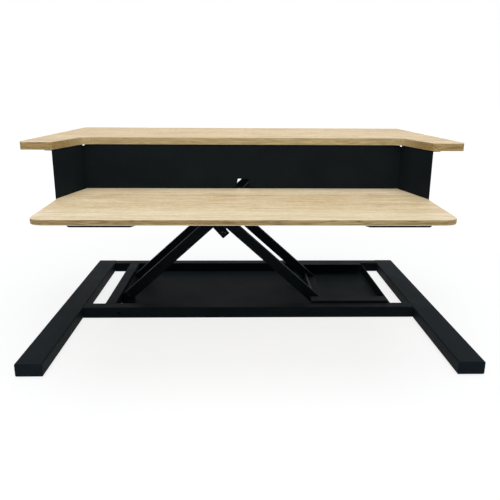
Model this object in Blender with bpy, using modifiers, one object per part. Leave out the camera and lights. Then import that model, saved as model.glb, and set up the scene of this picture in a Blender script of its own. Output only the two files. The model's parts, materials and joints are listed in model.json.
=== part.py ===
"""Two-tier standing desk converter: a flat base, a single scissor lift and a two-level platform.

The script models the converter at its full height. X runs to the user's right, Y away from the user and
Z up. Depths are counted from the front ends of the feet, and the root empty then puts the origin
under the middle of the whole object.
"""
import math

import bmesh
import bpy
from mathutils import Matrix, Vector

# Driving dimensions, in metres
GAP = 0.0003                    # between pieces that touch
RUNNING_GAP = 0.0006            # between pieces that slide past each other

# Base: two feet joined by two rails and a crossbar
BASE_WIDTH = 0.850
FOOT_LENGTH = 0.650
FOOT_WIDTH = 0.050
TUBE_HEIGHT = 0.025
TUBE_WALL = 0.0015
TUBE_CORNER = 0.0025
PAD_HEIGHT = 0.0015
PAD_LENGTH = 0.060
PAD_WIDTH = 0.030
PAD_INSET = 0.045
PAD_CORNER = 0.0075
CAP_LIP = 0.004
CAP_PLUG = 0.014
CAP_WALL = 0.002
RAIL_DEPTH = 0.030
FRONT_RAIL_Y = 0.2725
CROSSBAR_WIDTH = 0.025
CROSSBAR_INSET = 0.1065          # from the base's left side to the crossbar's middle
RAIL_HOLE_OFFSET = 0.0235        # right of the crossbar's middle
RAIL_HOLE_RADIUS = 0.0032

# Pan: a folded sheet between the rails, with a roller track along each rail
SHEET = 0.0015
PAN_INSET = 0.0935               # from the base's right side
PAN_RELIEF = 0.006
PAN_WALL = 0.022                 # height of the right wall
TRACK_STOP = 0.008              # from the end of a lower track to the pan's wall
TRACK_LIP = 0.029
LOWER_TRACK_LENGTH = 0.1775
ROLLER_RADIUS = 0.0127
ROLLER_WIDTH = 0.018
ROLLER_INSET = 0.0075
AXLE_RADIUS = 0.003

# Scissor: an inner frame hinged to the base and an outer frame hinged to the platform
LIFT_ANGLE = math.radians(42.0)
LOWEST_ANGLE = math.radians(13.5)
ARM_LOWER_LENGTH = 0.3038
ARM_UPPER_LENGTH = 0.2363
ARM_HEIGHT = 0.024
ARM_DEPTH = 0.015
ARM_WALL = 0.0015
ARM_CORNER = 0.0015
ARM_SPACER = 0.009
FRAME_INSET = 0.05345            # from the outer frame to the pan's walls
LOWER_PIVOT_OFFSET = 0.0277      # right of the crossbar's middle
PIVOT_OVERHANG = 0.0085
ROLLER_OVERHANG = 0.0265
BLUNT_OVERHANG = 0.0045
END_PLATE = 0.0025
PIVOT_RADIUS = 0.003
BOLT_HEAD_RADIUS = 0.0065
BOLT_HEAD_HEIGHT = 0.004
BRACKET_SHEET = 0.0025
BRACKET_REACH = 0.030
BRACKET_FOOT = 0.016
BRACKET_DROP = 0.011

# Gas spring from a lug on the inner frame up to the platform
LUG_ALONG = -0.0284             # from the crossing, along the inner frame
LUG_DROP = 0.040
LUG_WIDTH = 0.0205
LUG_TIP = 0.010
LUG_SHEET = 0.004
LUG_CORNER = 0.002
SPRING_TOP_X = 0.033            # from the platform's hinge
SPRING_TOP_Z = -0.008
CYLINDER_RADIUS = 0.0095
CYLINDER_LENGTH = 0.150
CYLINDER_BORE = 0.045            # from the lower eye to the bottom of the bore
ROD_TAIL = 0.108                 # from the lower eye to the hidden end of the rod
ROD_RADIUS = 0.004
EYE_RADIUS = 0.007
EYE_WIDTH = 0.014
EYE_SEAT = 0.0056                # from an eye's middle to the end of the part it is on
SPRING_CHEEK_SPACE = 0.022
SPRING_CHEEK_LENGTH = 0.034
SPRING_CHEEK_DROP = 0.030
HEAD_RADIUS = 0.0075
HEAD_LENGTH = 0.022

# Platform: shelf, riser, keyboard tray and the plate that the scissor carries
PLATE_SHEET = 0.002
PLATE_MARGIN = 0.010            # past the arms, front and back
PLATE_LEFT = 0.0195             # past the platform's hinge
PLATE_RIGHT = 0.026             # past the roller at the lowest height
UPPER_TRACK_LENGTH = 0.165
PLATFORM_X = -0.014             # the scissor's unequal arms carry the raised platform to the left
SHELF_WIDTH = 0.817
SHELF_DEPTH = 0.459
SHELF_THICKNESS = 0.015
SHELF_FRONT_Y = 0.1224
SHELF_CORNER = 0.006
RECESS_DEPTH = 0.1258
RECESS_REAR_WIDTH = 0.651
RECESS_FLARE = 0.025             # each side, from the back of the recess to its front
RECESS_CORNER = 0.027
WING_CORNER = 0.009
BOARD_ROUNDING = 0.0022
TIER_CLEARANCE = 0.0905         # from the tray's top to the shelf's underside
RISER_SETBACK = 0.0015
RISER_FRONT_Y = 0.1276
TOP_FLANGE = 0.022
WING_FLANGE = 0.016
BOTTOM_FLANGE = 0.026
BEND_RELIEF = 0.004
NOTCH_RADIUS = 0.003
CABLE_HOLE_X = 0.0
CABLE_HOLE_WIDTH = 0.030
CABLE_HOLE_HEIGHT = 0.020
CABLE_HOLE_TAPER = 0.004
CABLE_HOLE_CORNER = 0.0012
TRAY_FRONT_Y = -0.055
TRAY_THICKNESS = 0.0105
TRAY_CORNER = 0.022
TRAY_TAPER = 0.0085             # each side, from the riser to the tray's front

# Release paddles under the tray's front edge
PADDLE_WIDTH = 0.117
PADDLE_DEPTH = 0.052
PADDLE_THICKNESS = 0.0055
PADDLE_DROP = 0.0065            # from the tray's underside
PADDLE_TAPER = 0.013
PADDLE_ROUND = 0.004
PADDLE_SETBACK = 0.040          # from the tray's front edge
PADDLE_SPACING = 0.4876
PADDLE_SHIFT = 0.0096
PADDLE_PIN_RADIUS = 0.0016
PADDLE_EAR_SHEET = 0.0015
PADDLE_EAR_LENGTH = 0.016

# Levels and places that follow from them
TUBE_BOTTOM = PAD_HEIGHT
TUBE_TOP = TUBE_BOTTOM + TUBE_HEIGHT
FLOOR_TOP = TUBE_BOTTOM + SHEET
LOWER_PIVOT_Z = FLOOR_TOP + GAP + ROLLER_RADIUS
TRACK_CEILING = LOWER_PIVOT_Z + ROLLER_RADIUS + RUNNING_GAP
CROSSBAR_X = CROSSBAR_INSET - BASE_WIDTH / 2
RAIL_HOLE_X = CROSSBAR_X + RAIL_HOLE_OFFSET
LOWER_PIVOT_X = CROSSBAR_X + LOWER_PIVOT_OFFSET
PAN_RIGHT_X = BASE_WIDTH / 2 - PAN_INSET
LOWER_TRACK_END = PAN_RIGHT_X - TRACK_STOP
FRONT_RAIL_BACK = FRONT_RAIL_Y + RAIL_DEPTH
REAR_RAIL_FRONT = FOOT_LENGTH - RAIL_DEPTH
PAN_FRONT = FRONT_RAIL_BACK + GAP
PAN_BACK = REAR_RAIL_FRONT - GAP
MECHANISM_Y = (PAN_FRONT + PAN_BACK) / 2
OUTER_FRAME_DEPTH = PAN_BACK - PAN_FRONT - 2 * FRAME_INSET
INNER_FRAME_DEPTH = OUTER_FRAME_DEPTH - 2 * (ARM_SPACER + ARM_DEPTH)
ARM_LENGTH = ARM_LOWER_LENGTH + ARM_UPPER_LENGTH
ARM_HALF = ARM_HEIGHT / 2

LOWER_PIVOT = Vector((LOWER_PIVOT_X, MECHANISM_Y, LOWER_PIVOT_Z))
ALONG_INNER = Vector((math.cos(LIFT_ANGLE), 0, math.sin(LIFT_ANGLE)))
ALONG_OUTER = Vector((math.cos(LIFT_ANGLE), 0, -math.sin(LIFT_ANGLE)))
CROSSING = LOWER_PIVOT + ARM_LOWER_LENGTH * ALONG_INNER
UPPER_PIVOT = CROSSING - ARM_UPPER_LENGTH * ALONG_OUTER

PLATE_BOTTOM = UPPER_PIVOT.z + ROLLER_RADIUS + GAP
PLATE_TOP = PLATE_BOTTOM + PLATE_SHEET
SHELF_BOTTOM = PLATE_TOP + GAP
TRAY_TOP = SHELF_BOTTOM - TIER_CLEARANCE
TRAY_BOTTOM = TRAY_TOP - TRAY_THICKNESS
RECESS_Y = SHELF_FRONT_Y + RECESS_DEPTH
RISER_Y = RECESS_Y + RISER_SETBACK
RISER_TOP = SHELF_BOTTOM - GAP
RISER_BOTTOM = TRAY_BOTTOM - GAP
FLARE = RECESS_FLARE / RECESS_DEPTH
PLATFORM_HINGE_X = UPPER_PIVOT.x - PLATFORM_X
PADDLE_AXIS_Z = TRAY_BOTTOM - PADDLE_DROP - PADDLE_THICKNESS / 2
PADDLE_AXIS_Y = TRAY_FRONT_Y + PADDLE_SETBACK + PADDLE_DEPTH
ORIGIN_Y = (TRAY_FRONT_Y + FOOT_LENGTH) / 2

AXES = {
    "xy": Matrix(((1, 0, 0), (0, 1, 0), (0, 0, 1))),
    "xz": Matrix(((1, 0, 0), (0, 0, -1), (0, 1, 0))),
    "yz": Matrix(((0, 0, 1), (1, 0, 0), (0, 1, 0))),
}
ROUND_SEGMENTS = 20
HEX_SIDES = 6
ARC_STEPS = 4
QUARTER_TURN = math.pi / 2
SMOOTH_ANGLE = math.radians(40)
ROUNDED_ANGLE = math.radians(50)
SAME_PLACE = 0.0001              # points and edges closer than this lie together

PALETTE = {}
GROUPS = {}


def clear_scene():
    """Remove every object, so that the script can be run again."""
    for item in list(bpy.data.objects):
        bpy.data.objects.remove(item, do_unlink=True)


def collection(name):
    """A collection of the scene, made when it is first asked for."""
    if name not in GROUPS:
        GROUPS[name] = bpy.data.collections.new(name)
        bpy.context.scene.collection.children.link(GROUPS[name])
    return GROUPS[name]


def finish(name, colour, roughness, metallic):
    """A Principled material, kept in the palette under its name."""
    shade = bpy.data.materials.new(name)
    shade.use_nodes = True
    shader = shade.node_tree.nodes["Principled BSDF"]
    shader.inputs["Base Color"].default_value = (*colour, 1)
    shader.inputs["Roughness"].default_value = roughness
    shader.inputs["Metallic"].default_value = metallic
    PALETTE[name] = shade


def pivot(name, parent, location, tilt=0.0):
    """An empty on a joint's axis; tilt turns it about Y, nose down."""
    empty = bpy.data.objects.new(name, None)
    collection("desk_converter").objects.link(empty)
    empty.parent = parent
    empty.location = location
    empty.rotation_euler.y = tilt
    return empty


def piece(name, mesh, shade, parent, location=(0, 0, 0)):
    """A named part of the converter."""
    item = bpy.data.objects.new(name, mesh)
    collection("desk_converter").objects.link(item)
    mesh.materials.clear()
    mesh.materials.append(PALETTE[shade])
    item.parent = parent
    item.location = location
    return item


def boolean(target, meshes, operation):
    """Cut meshes out of a part, or weld them to it; they lie in the part's own coordinates."""
    for index, mesh in enumerate(meshes):
        tool = bpy.data.objects.new(f"{target.name}_{operation.lower()}_{index}", mesh)
        collection("cutters").objects.link(tool)
        tool.parent = target
        tool.hide_render = True
        tool.display_type = "WIRE"
        step = target.modifiers.new(tool.name, "BOOLEAN")
        step.operation = operation
        step.object = tool
        step.solver = "EXACT"


def mesh_from(bm, name):
    """Close a bmesh into a mesh with its faces pointing out."""
    bmesh.ops.recalc_face_normals(bm, faces=bm.faces)
    mesh = bpy.data.meshes.new(name)
    bm.to_mesh(mesh)
    bm.free()
    return mesh


def rod(radius, low, high, x=0.0, z=0.0, segments=ROUND_SEGMENTS):
    """A round bar along Y."""
    bm = bmesh.new()
    turn = Matrix.Rotation(QUARTER_TURN, 4, "X")
    bmesh.ops.create_cone(bm, cap_ends=True, segments=segments, radius1=radius, radius2=radius,
                          depth=high - low, matrix=Matrix.Translation((x, (low + high) / 2, z)) @ turn)
    mesh = mesh_from(bm, "rod")
    mesh.shade_smooth()
    mesh.set_sharp_from_angle(angle=SMOOTH_ANGLE)
    return mesh


def rounded(corners):
    """An outline from (x, y, radius) corners, each round corner as an arc."""
    outline = []
    for index, (x, y, radius) in enumerate(corners):
        here = Vector((x, y))
        if radius <= 0:
            outline.append(here)
            continue
        to_last = (Vector(corners[index - 1][:2]) - here).normalized()
        to_next = (Vector(corners[(index + 1) % len(corners)][:2]) - here).normalized()
        half = to_last.angle(to_next) / 2
        centre = here + (to_last + to_next).normalized() * radius / math.sin(half)
        first = here + to_last * radius / math.tan(half) - centre
        last = here + to_next * radius / math.tan(half) - centre
        turn = first.angle_signed(last)
        for step in range(ARC_STEPS + 1):
            outline.append(centre + Matrix.Rotation(-turn * step / ARC_STEPS, 2) @ first)
    return outline


def rectangle(x0, y0, x1, y1, radius=0.0):
    """A rectangle's outline, with round corners if asked."""
    return rounded([(x0, y0, radius), (x1, y0, radius), (x1, y1, radius), (x0, y1, radius)])


def prism(outlines, low, high, axes="xy"):
    """Flat outlines, the first round the others, given a thickness from low to high."""
    curve = bpy.data.curves.new("outline", "CURVE")
    curve.dimensions = "2D"
    curve.fill_mode = "BOTH"
    curve.extrude = (high - low) / 2
    for outline in outlines:
        spline = curve.splines.new("POLY")
        spline.points.add(len(outline) - 1)
        for point, place in zip(spline.points, outline):
            point.co = (place[0], place[1], 0, 1)
        spline.use_cyclic_u = True
    drawn = bpy.data.objects.new("outline", curve)
    bpy.context.scene.collection.objects.link(drawn)
    seen = drawn.evaluated_get(bpy.context.evaluated_depsgraph_get())
    mesh = bpy.data.meshes.new_from_object(seen)
    bpy.data.objects.remove(drawn, do_unlink=True)
    bm = bmesh.new()
    bm.from_mesh(mesh)
    bmesh.ops.remove_doubles(bm, verts=bm.verts, dist=SAME_PLACE / ROUND_SEGMENTS)
    turn = AXES[axes]
    normal = turn @ Vector((0, 0, 1))
    middle = Matrix.Translation(Vector(abs(part) for part in normal) * (low + high) / 2)
    bmesh.ops.transform(bm, matrix=middle @ turn.to_4x4(), verts=bm.verts)
    return mesh_from(bm, "prism")


def tube(name, width_axis, section, low, high, parent):
    """A rectangular steel tube with open ends; section is its outer (low, high, low, high)."""
    outer = rectangle(section[0], section[2], section[1], section[3], TUBE_CORNER)
    inner = rectangle(section[0] + TUBE_WALL, section[2] + TUBE_WALL,
                      section[1] - TUBE_WALL, section[3] - TUBE_WALL, TUBE_CORNER - TUBE_WALL)
    return piece(name, prism([outer, inner], low, high, width_axis), "powder coat", parent)


def soften(item, width, segments=2):
    """Round an item's sharp edges."""
    bevel = item.modifiers.new("rounding", "BEVEL")
    bevel.width = width
    bevel.segments = segments
    bevel.limit_method = "ANGLE"
    bevel.angle_limit = ROUNDED_ANGLE


def foot(side, parent):
    """One long foot: a tube, an end cap at each end and two pads under it."""
    name = "left" if side < 0 else "right"
    outer = side * BASE_WIDTH / 2
    inner = outer - side * FOOT_WIDTH
    x0, x1 = min(outer, inner), max(outer, inner)
    tube(f"{name}_foot", "xz", (x0, x1, TUBE_BOTTOM, TUBE_TOP), CAP_LIP + GAP,
         FOOT_LENGTH - CAP_LIP - GAP, parent)
    for end, direction in (("front", 1), ("rear", -1)):
        foot_cap(f"{name}_foot_{end}_cap", x0, x1, direction, parent)
        middle = PAD_INSET if direction > 0 else FOOT_LENGTH - PAD_INSET
        pad = rectangle((x0 + x1 - PAD_WIDTH) / 2, middle - PAD_LENGTH / 2,
                        (x0 + x1 + PAD_WIDTH) / 2, middle + PAD_LENGTH / 2, PAD_CORNER)
        piece(f"{name}_foot_{end}_pad", prism([pad], 0, PAD_HEIGHT - GAP), "rubber", parent)


def foot_cap(name, x0, x1, direction, parent):
    """A plastic cap: a lip as large as the tube and a hollow plug inside it."""
    front = 0 if direction > 0 else FOOT_LENGTH
    seat = front + direction * CAP_LIP
    deep = front + direction * (CAP_LIP + CAP_PLUG)
    back = TUBE_WALL + GAP
    lip = rectangle(x0, TUBE_BOTTOM, x1, TUBE_TOP, TUBE_CORNER)
    plug = rectangle(x0 + back, TUBE_BOTTOM + back, x1 - back, TUBE_TOP - back)
    hollow = rectangle(x0 + back + CAP_WALL, TUBE_BOTTOM + back + CAP_WALL,
                       x1 - back - CAP_WALL, TUBE_TOP - back - CAP_WALL)
    cap = piece(name, prism([lip], min(front, seat), max(front, seat), "xz"), "black plastic", parent)
    sunk = front + direction * CAP_LIP / 2
    weld = prism([plug, hollow], min(sunk, deep), max(sunk, deep), "xz")
    boolean(cap, [weld], "UNION")
    soften(cap, BOARD_ROUNDING / 2)


def base(parent):
    """Feet, rails, crossbar and pan, which never move."""
    for side in (-1, 1):
        foot(side, parent)
    reach = BASE_WIDTH / 2 - FOOT_WIDTH - GAP
    front = (FRONT_RAIL_Y, FRONT_RAIL_BACK, TUBE_BOTTOM, TUBE_TOP)
    rail = tube("front_rail", "yz", front, -reach, reach, parent)
    hole = rod(RAIL_HOLE_RADIUS, FRONT_RAIL_Y - TUBE_WALL, FRONT_RAIL_Y + 2 * TUBE_WALL,
               RAIL_HOLE_X, (TUBE_BOTTOM + TUBE_TOP) / 2)
    boolean(rail, [hole], "DIFFERENCE")
    rear = (REAR_RAIL_FRONT, FOOT_LENGTH, TUBE_BOTTOM, TUBE_TOP)
    tube("rear_rail", "yz", rear, -reach, reach, parent)
    half = CROSSBAR_WIDTH / 2
    tube("left_crossbar", "xz", (CROSSBAR_X - half, CROSSBAR_X + half, TUBE_BOTTOM, TUBE_TOP),
         PAN_FRONT, PAN_BACK, parent)
    base_pan(parent)
    for end, offset in bar_offsets(INNER_FRAME_DEPTH):
        floor_bracket(f"lower_bracket_{end}", offset, parent)


def folded_sheet(name, xs, ys, level, folds, thickness, parent, location=(0, 0, 0)):
    """A sheet on a grid of fold lines; each fold extrudes the edges that pass its test by one step.

    The sheet thickens towards its folds, so the given level is the face on their far side.
    """
    bm = bmesh.new()
    bmesh.ops.create_grid(bm, x_segments=len(xs) - 1, y_segments=len(ys) - 1, size=1)
    for vertex in bm.verts:
        column = round((vertex.co.x + 1) / 2 * (len(xs) - 1))
        row = round((vertex.co.y + 1) / 2 * (len(ys) - 1))
        vertex.co = (xs[column], ys[row], level)
    for test, step in folds:
        fold(bm, test, step)
    return solid_sheet(name, bm, -folds[0][1], thickness, parent, location)


def fold(bm, test, step):
    """Fold a flange off the open edges whose middle passes the test."""
    edges = [edge for edge in bm.edges
             if edge.is_boundary and test((edge.verts[0].co + edge.verts[1].co) / 2)]
    moved = bmesh.ops.extrude_edge_only(bm, edges=edges)["geom"]
    corners = [part for part in moved if isinstance(part, bmesh.types.BMVert)]
    bmesh.ops.translate(bm, vec=step, verts=corners)


def solid_sheet(name, bm, face, thickness, parent, location):
    """Give an open surface the thickness of its sheet; face is where its largest face looks."""
    bmesh.ops.recalc_face_normals(bm, faces=bm.faces)
    largest = max(bm.faces, key=lambda side: side.calc_area())
    if largest.normal.dot(face) < 0:
        bmesh.ops.reverse_faces(bm, faces=bm.faces)
    mesh = bpy.data.meshes.new(name)
    bm.to_mesh(mesh)
    bm.free()
    item = piece(name, mesh, "powder coat", parent, location)
    shell = item.modifiers.new("sheet", "SOLIDIFY")
    shell.thickness = thickness
    shell.use_even_offset = True
    shell.use_quality_normals = True
    return item


def bar_offsets(depth):
    """The front and rear bars of a frame, from the middle of the mechanism."""
    middle = (depth - ARM_DEPTH) / 2
    return (("front", -middle), ("rear", middle))


def track_folds(ys, level, rise, track):
    """Folds for a roller track along a sheet's front and back edges."""
    near, far = ys[0], ys[-1]
    low, high = track
    step_up = Vector((0, 0, rise))
    folds = []
    for edge_y, inward in ((near, 1), (far, -1)):
        def on_floor(middle, edge_y=edge_y):
            return abs(middle.y - edge_y) < SAME_PLACE and low < middle.x < high

        def at_top(middle, edge_y=edge_y):
            return on_floor(middle, edge_y) and abs(middle.z - level - rise) < SAME_PLACE

        folds += [(on_floor, step_up), (at_top, Vector((0, inward * TRACK_LIP, 0)))]
    return folds


def base_pan(parent):
    """The pan: a floor, a roller track along each rail and a wall at its right end."""
    left = CROSSBAR_X + CROSSBAR_WIDTH / 2 + GAP
    track = (LOWER_TRACK_END - LOWER_TRACK_LENGTH, LOWER_TRACK_END)
    xs = [left, *track, PAN_RIGHT_X]
    ys = [PAN_FRONT, PAN_FRONT + PAN_RELIEF, PAN_BACK - PAN_RELIEF, PAN_BACK]
    folds = track_folds(ys, TUBE_BOTTOM, TRACK_CEILING + SHEET - TUBE_BOTTOM, track)

    def at_right(middle):
        return abs(middle.x - PAN_RIGHT_X) < SAME_PLACE and ys[1] < middle.y < ys[-2]

    folds.append((at_right, Vector((0, 0, PAN_WALL))))
    folded_sheet("base_pan", xs, ys, TUBE_BOTTOM, folds, SHEET, parent)


def floor_bracket(name, offset, parent):
    """A folded angle: a foot on the pan's floor and a cheek on the outer side of the inner frame's arm."""
    side = math.copysign(1, offset)
    inside = MECHANISM_Y + offset + side * (ARM_DEPTH / 2 + RUNNING_GAP)
    outside = inside + side * BRACKET_SHEET
    toe = inside + side * BRACKET_FOOT
    low = FLOOR_TOP + GAP
    foot_top = low + BRACKET_SHEET
    outline = [(inside, low), (toe, low), (toe, foot_top), (outside, foot_top),
               (outside, TUBE_TOP), (inside, TUBE_TOP)]
    half = BRACKET_REACH / 2
    angle = prism([outline], LOWER_PIVOT.x - half, LOWER_PIVOT.x + half, "yz")
    bracket = piece(name, angle, "powder coat", parent)
    bore = (min(inside, outside) - BRACKET_SHEET, max(inside, outside) + BRACKET_SHEET)
    boolean(bracket, [rod(PIVOT_RADIUS + GAP, *bore, LOWER_PIVOT.x, LOWER_PIVOT.z)], "DIFFERENCE")


def hinge_bracket(name, wall, axis_x, offset, low, high, axis_z, parent, shift=(0, 0, 0)):
    """A folded angle: a back plate at the wall and a cheek on the outer side of the arm."""
    y = MECHANISM_Y + offset
    side = math.copysign(1, offset)
    inside = y + side * (ARM_DEPTH / 2 + RUNNING_GAP)
    outside = inside + side * BRACKET_SHEET
    back = wall + BRACKET_SHEET
    nose = axis_x + BRACKET_REACH / 2
    end = y - side * ARM_DEPTH / 2
    outline = [(wall, outside), (nose, outside), (nose, inside), (back, inside), (back, end), (wall, end)]
    bracket = piece(name, prism([outline], low, high), "powder coat", parent, shift)
    reach = ARM_DEPTH + BRACKET_SHEET
    boolean(bracket, [rod(PIVOT_RADIUS + GAP, y - reach, y + reach, axis_x, axis_z)], "DIFFERENCE")


def bolt(name, face, tip, parent, nut):
    """A pivot bolt along Y: its head bears on one face, and its tip may carry a nut."""
    side = math.copysign(1, face - tip)
    ends = [face + side * BOLT_HEAD_HEIGHT / 2, tip - side * BOLT_HEAD_HEIGHT / 2 if nut else tip]
    item = piece(name, rod(PIVOT_RADIUS, min(ends), max(ends)), "black steel", parent)
    top = face + side * BOLT_HEAD_HEIGHT
    heads = [rod(BOLT_HEAD_RADIUS, min(face, top), max(face, top))]
    if nut:
        under = tip - side * BOLT_HEAD_HEIGHT
        heads.append(rod(BOLT_HEAD_RADIUS, min(tip, under), max(tip, under), segments=HEX_SIDES))
    boolean(item, heads, "UNION")


def arm_bolt(name, offset, parent):
    """The bolt that hinges one bar on its bracket; it ends inside the bar."""
    side = math.copysign(1, offset)
    face = offset + side * (ARM_DEPTH / 2 + RUNNING_GAP + BRACKET_SHEET + GAP)
    bolt(name, face, offset - side * (ARM_DEPTH / 2 - GAP), parent, nut=False)


def frame_end(u, tip, blunt, high_side):
    """The slanted cut at one end of a frame, as its top and bottom corner."""
    ahead = math.copysign(1, tip)
    top, bottom = (tip, ahead * blunt) if high_side else (ahead * blunt, tip)
    return Vector((u + top, ARM_HALF)), Vector((u + bottom, -ARM_HALF))


def arm_bar(name, offset, left, right, pivots, parent):
    """One bar of a frame: a rectangular tube cut to the frame's ends and drilled for its pivots."""
    half = ARM_DEPTH / 2
    outer = rectangle(offset - half, -ARM_HALF, offset + half, ARM_HALF, ARM_CORNER)
    half -= ARM_WALL
    inner = rectangle(offset - half, ARM_WALL - ARM_HALF, offset + half, ARM_HALF - ARM_WALL)
    start = min(left[0].x, left[1].x) - ARM_HEIGHT
    stop = max(right[0].x, right[1].x) + ARM_HEIGHT
    bar = piece(name, prism([outer, inner], start, stop, "yz"), "powder coat", parent)
    over = ARM_WALL
    ends = []
    for (top, bottom), outward in ((left, -1), (right, 1)):
        slant = (top - bottom) * over / ARM_HEIGHT
        high, low = top + slant, bottom - slant
        far = 2 * outward * (ARM_HEIGHT + ROLLER_OVERHANG)
        waste = [high, low, low + Vector((far, 0)), high + Vector((far, 0))]
        ends.append(prism([waste], offset - ARM_DEPTH, offset + ARM_DEPTH, "xz"))
    bores = [rod(radius + GAP, offset - ARM_DEPTH, offset + ARM_DEPTH, u) for u, radius in pivots]
    boolean(bar, ends + bores, "DIFFERENCE")


def arm_frame(name, depth, left, right, pivots, parent):
    """A welded frame: two bars and a plate across each of its ends."""
    back = Vector((END_PLATE + GAP, 0))
    left_cut = [corner + back for corner in left]
    right_cut = [corner - back for corner in right]
    for end, offset in bar_offsets(depth):
        arm_bar(f"{name}_bar_{end}", offset, left_cut, right_cut, pivots, parent)
    thick = Vector((END_PLATE, 0))
    for (top, bottom), inward, end in ((left, 1, "left"), (right, -1, "right")):
        strip = [top, bottom, bottom + inward * thick, top + inward * thick]
        plate = prism([strip], -depth / 2, depth / 2, "xz")
        piece(f"{name}_{end}_plate", plate, "powder coat", parent)


def ring(outer, inner, low, high):
    """A round ring about the Y axis."""
    turns = [2 * math.pi * step / ROUND_SEGMENTS for step in range(ROUND_SEGMENTS)]
    outlines = [[(radius * math.cos(turn), radius * math.sin(turn)) for turn in turns]
                for radius in (outer, inner)]
    mesh = prism(outlines, low, high, "xz")
    mesh.shade_smooth()
    mesh.set_sharp_from_angle(angle=SMOOTH_ANGLE)
    return mesh


def roller(name, y, parent, u):
    """A track roller with its bore on the axle."""
    mesh = ring(ROLLER_RADIUS, AXLE_RADIUS + GAP, -ROLLER_WIDTH / 2, ROLLER_WIDTH / 2)
    piece(name, mesh, "nylon", parent, (u, y, 0))


def roller_axle(name, wall_offset, parent, u):
    """An axle through a frame's end, with a roller near each of its ends."""
    reach = wall_offset - SHEET - ROLLER_INSET
    for end, side in (("front", -1), ("rear", 1)):
        roller(f"{name}_roller_{end}", side * (reach - ROLLER_WIDTH / 2), parent, u)
    shaft = reach + GAP + RUNNING_GAP
    piece(f"{name}_axle", rod(AXLE_RADIUS, -shaft, shaft, u), "black steel", parent)


def inner_frame(parent):
    """The frame hinged to the base, with the lugs that the gas spring pushes on."""
    left = frame_end(0, -PIVOT_OVERHANG, BLUNT_OVERHANG, True)
    right = frame_end(ARM_LENGTH, ROLLER_OVERHANG, BLUNT_OVERHANG, False)
    pivots = ((0, PIVOT_RADIUS), (ARM_LOWER_LENGTH, PIVOT_RADIUS), (ARM_LENGTH, AXLE_RADIUS))
    arm_frame("inner_frame", INNER_FRAME_DEPTH, left, right, pivots, parent)
    lug_u = ARM_LOWER_LENGTH + LUG_ALONG
    half = LUG_WIDTH / 2
    face = INNER_FRAME_DEPTH / 2 - ARM_DEPTH
    lug = rectangle(lug_u - half, -LUG_DROP - LUG_TIP, lug_u + half, ARM_HALF, LUG_CORNER)
    for end, side in (("front", -1), ("rear", 1)):
        outside, inside = side * (face - GAP), side * (face - GAP - LUG_SHEET)
        low, high = min(outside, inside), max(outside, inside)
        plate = piece(f"gas_spring_lug_{end}", prism([lug], low, high, "xz"), "powder coat", parent)
        bore = rod(PIVOT_RADIUS + GAP, low - LUG_SHEET, high + LUG_SHEET, lug_u, -LUG_DROP)
        boolean(plate, [bore], "DIFFERENCE")
    pin = rod(PIVOT_RADIUS, GAP - face, face - GAP, lug_u, -LUG_DROP)
    piece("gas_spring_lower_pin", pin, "black steel", parent)
    for end, offset in bar_offsets(INNER_FRAME_DEPTH):
        arm_bolt(f"lower_pivot_bolt_{end}", offset, parent)
    roller_axle("upper", OUTER_FRAME_DEPTH / 2 + PLATE_MARGIN, parent, ARM_LENGTH)


def outer_frame(parent):
    """The frame that the platform hinges on, with the rollers that run in the base."""
    left = frame_end(-ARM_UPPER_LENGTH, -PIVOT_OVERHANG, BLUNT_OVERHANG, False)
    right = frame_end(ARM_LOWER_LENGTH, ROLLER_OVERHANG, BLUNT_OVERHANG, True)
    pivots = ((-ARM_UPPER_LENGTH, PIVOT_RADIUS), (0, PIVOT_RADIUS), (ARM_LOWER_LENGTH, AXLE_RADIUS))
    arm_frame("outer_frame", OUTER_FRAME_DEPTH, left, right, pivots, parent)
    roller_axle("lower", (PAN_BACK - PAN_FRONT) / 2, parent, ARM_LOWER_LENGTH)
    inner, outer = INNER_FRAME_DEPTH / 2, OUTER_FRAME_DEPTH / 2
    for end, side in (("front", -1), ("rear", 1)):
        face, tip = side * (outer + GAP), side * (inner - ARM_DEPTH - GAP)
        bolt(f"cross_pivot_bolt_{end}", face, tip, parent, nut=True)
        middle = side * (inner + ARM_SPACER / 2)
        half = ARM_SPACER / 2 - GAP
        spacer = ring(ARM_HALF - RUNNING_GAP, PIVOT_RADIUS + GAP, middle - half, middle + half)
        piece(f"cross_pivot_spacer_{end}", spacer, "nylon", parent)


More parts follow.
